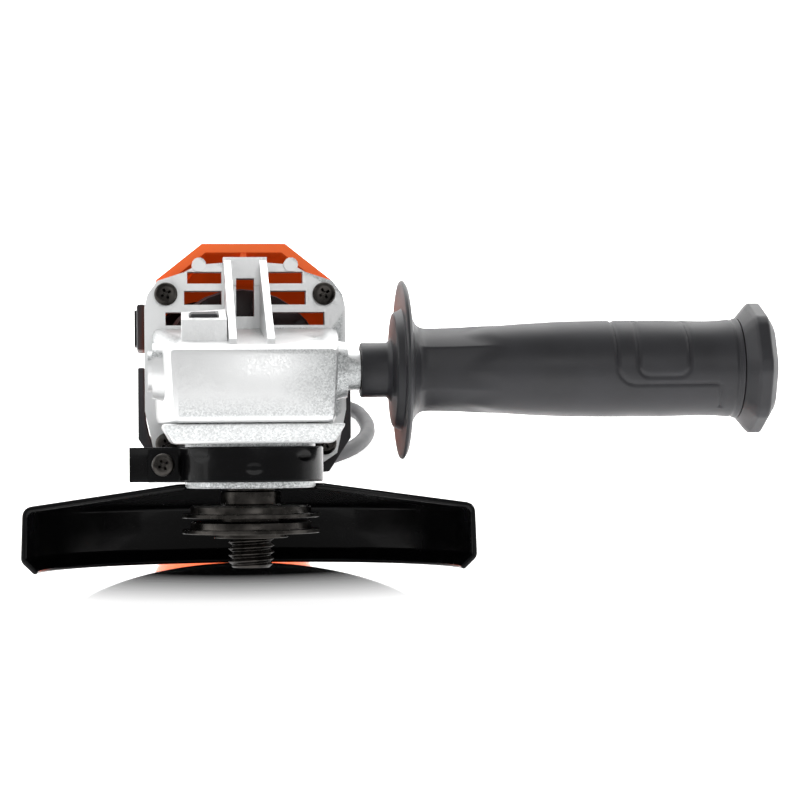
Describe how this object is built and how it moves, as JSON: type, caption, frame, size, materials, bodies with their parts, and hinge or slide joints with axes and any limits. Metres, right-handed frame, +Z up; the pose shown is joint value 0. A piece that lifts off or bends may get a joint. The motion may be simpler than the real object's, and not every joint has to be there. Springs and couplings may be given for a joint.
{
  "type": "angle grinder",
  "caption": "Corded angle grinder without a disc: silver bevel gear head, half-moon guard, orange motor housing, black rear covers, round side handle and mains cord.",
  "frame": {"origin": "middle of the underside of the bounding box of the tool without its cord, on the surface that it stands on", "axes": "+X along the side handle away from the gear head, +Y from the gear head back along the motor, +Z up; the tool leans nose-up on its guard and the heel of its rear covers"},
  "size_m": [0.233, 0.472, 0.1065],
  "materials": {
    "cast_metal": "speckled silver paint on die-cast aluminium, satin",
    "guard_paint": "gloss black stove enamel on pressed steel",
    "black_steel": "blackened (oxide) turned steel",
    "bare_steel": "ground and turned bare steel",
    "bronze": "turned or pressed copper alloy",
    "copper": "enamelled copper wire and copper bars",
    "laminated_iron": "stack of stamped iron sheets",
    "carbon": "pressed carbon, matt",
    "orange_plastic": "orange glass-filled nylon, satin",
    "black_plastic": "black glass-filled nylon, satin",
    "handle_plastic": "black moulded plastic, fine texture, satin",
    "cord_rubber": "black rubber sheath, matt"
  },
  "bodies": {
    "machine": {"gear_case": "cast_metal", "bearing_cover": "cast_metal", "bearing_cover_screw_1": "black_steel", "bearing_cover_screw_2": "black_steel", "bearing_cover_screw_3": "black_steel", "bearing_cover_screw_4": "black_steel", "gear_case_screw_1": "black_steel", "gear_case_screw_2": "black_steel", "gear_case_screw_3": "black_steel", "gear_case_screw_4": "black_steel", "rear_cover_screw_1": "black_steel", "rear_cover_screw_2": "black_steel", "spindle_bearing": "bare_steel", "front_bearing": "bare_steel", "rear_bearing": "bare_steel", "brush_spring_left": "bare_steel", "brush_spring_right": "bare_steel", "side_handle_stud": "bare_steel", "spindle_top_bush": "bronze", "brush_holder_left": "bronze", "brush_holder_right": "bronze", "field_coil_upper": "copper", "field_coil_lower": "copper", "stator_core": "laminated_iron", "carbon_brush_left": "carbon", "carbon_brush_right": "carbon", "motor_housing": "orange_plastic", "lower_skirt": "black_plastic", "rear_cover_left": "black_plastic", "rear_cover_right": "black_plastic", "bearing_bracket": "black_plastic", "switch_box": "black_plastic", "brush_cap_left": "black_plastic", "brush_cap_right": "black_plastic", "side_handle_grip": "handle_plastic", "side_handle_end_cap": "handle_plastic", "cord_guard": "cord_rubber", "cord": "cord_rubber", "cord_coil": "cord_rubber", "plug": "cord_rubber"},
    "armature": {"armature_shaft": "bare_steel", "armature_core": "laminated_iron", "armature_winding_front": "copper", "armature_winding_rear": "copper", "commutator": "copper", "fan": "black_plastic", "pinion": "bare_steel"},
    "output_spindle": {"spindle": "black_steel", "ring_gear": "bare_steel", "inner_flange": "black_steel", "lock_nut": "black_steel"},
    "guard": {"guard_shell": "guard_paint", "guard_clamp_band": "guard_paint", "guard_clamp_screw": "black_steel"},
    "spindle_lock": {"lock_button": "black_plastic", "lock_pin": "bare_steel", "lock_spring": "bare_steel"},
    "switch": {"switch_slider": "black_plastic", "switch_rod": "bare_steel"}
  },
  "joints": [
    {"name": "armature_spin", "type": "hinge", "parent": "machine", "child": "armature", "pos_m": [-0.0465, -0.01726, 0.05729], "axis": [0, 0.9803, -0.1977], "continuous": true},
    {"name": "spindle_spin", "type": "hinge", "parent": "machine", "child": "output_spindle", "pos_m": [-0.0465, -0.10549, 0.07508], "axis": [0, 0.1977, 0.9803], "continuous": true},
    {"name": "guard_turn", "type": "hinge", "parent": "machine", "child": "guard", "pos_m": [-0.0465, -0.11205, 0.04253], "axis": [0, 0.1977, 0.9803], "range_deg": [-30, 120]},
    {"name": "lock_press", "type": "slide", "parent": "machine", "child": "spindle_lock", "axis": [0, -0.1977, -0.9803], "range_m": [0, 0.003], "stiffness_N_per_m": 250, "springref_m": -0.002, "deforming": ["lock_spring"]},
    {"name": "switch_slide", "type": "slide", "parent": "machine", "child": "switch", "axis": [0, -0.9803, 0.1977], "range_m": [0, 0.006]}
  ],
  "couplings": [
    {"joint": "spindle_spin", "follows": "armature_spin", "ratio": 0.30556}
  ]
}
